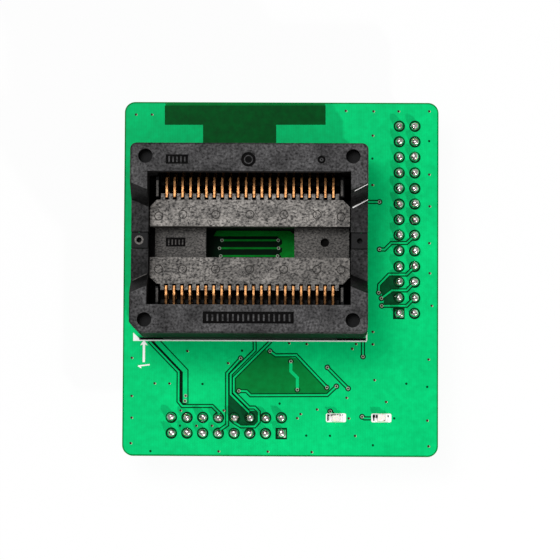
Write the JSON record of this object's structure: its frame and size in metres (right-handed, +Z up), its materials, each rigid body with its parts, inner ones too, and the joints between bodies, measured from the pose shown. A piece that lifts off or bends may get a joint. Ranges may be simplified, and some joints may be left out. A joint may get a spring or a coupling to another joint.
{
  "type": "programmer adapter",
  "caption": "Circuit board with an open-top, push-down test socket for a small-outline chip and pin headers below, which adapts the chip to a device programmer.",
  "frame": {"origin": "middle of the board outline in plan, at the height of the header pin tips, on which the part stands", "axes": "+Z up, from the pins to the socket; +Y along the board's long side, from the short header to the far end; +X towards the long header"},
  "size_m": [0.051, 0.0576, 0.0256],
  "materials": {
    "board_laminate": "green solder mask over glass laminate",
    "black_plastic": "moulded, matte",
    "cover_plastic": "moulded, fine texture",
    "seat_plastic": "moulded, fine texture",
    "gold_contact": "gold plated spring alloy",
    "gold_pin": "gold plated",
    "solder": "bright solder",
    "spring_steel": "drawn wire",
    "led_lens": "cloudy resin",
    "led_carrier": "white laminate"
  },
  "bodies": {
    "board": {"circuit_board": "board_laminate", "contact_roots_front": "gold_contact", "contact_roots_rear": "gold_contact", "cover_spring_front_left": "spring_steel", "cover_spring_front_right": "spring_steel", "cover_spring_rear_left": "spring_steel", "cover_spring_rear_right": "spring_steel", "header_long_body": "black_plastic", "header_long_pins": "gold_pin", "header_long_solder": "solder", "header_short_body": "black_plastic", "header_short_pins": "gold_pin", "header_short_solder": "solder", "led_left_carrier": "led_carrier", "led_left_lens": "led_lens", "led_left_terminals": "solder", "led_right_carrier": "led_carrier", "led_right_lens": "led_lens", "led_right_terminals": "solder", "package_seat": "seat_plastic", "socket_base": "black_plastic", "socket_solder_front": "solder", "socket_solder_rear": "solder"},
    "cover": {"socket_cover": "cover_plastic"},
    "contacts_front": {"contact_arms_front": "gold_contact"},
    "contacts_rear": {"contact_arms_rear": "gold_contact"}
  },
  "joints": [
    {"name": "cover_press", "type": "slide", "parent": "board", "child": "cover", "axis": [0, 0, -1], "range_m": [0, 0.002], "stiffness_N_per_m": 4000, "springref_m": -0.0001, "deforming": ["cover_spring_front_left", "cover_spring_front_right", "cover_spring_rear_left", "cover_spring_rear_right"]},
    {"name": "front_contacts_open", "type": "hinge", "parent": "board", "child": "contacts_front", "pos_m": [-0.00488, -0.00375, 0.01374], "axis": [1, 0, 0], "range_deg": [0, 27]},
    {"name": "rear_contacts_open", "type": "hinge", "parent": "board", "child": "contacts_rear", "pos_m": [-0.00488, 0.01425, 0.01374], "axis": [-1, 0, 0], "range_deg": [0, 27]}
  ],
  "couplings": [
    {"joint": "front_contacts_open", "follows": "cover_press", "rad_per_m": 235.6},
    {"joint": "rear_contacts_open", "follows": "cover_press", "rad_per_m": 235.6}
  ]
}
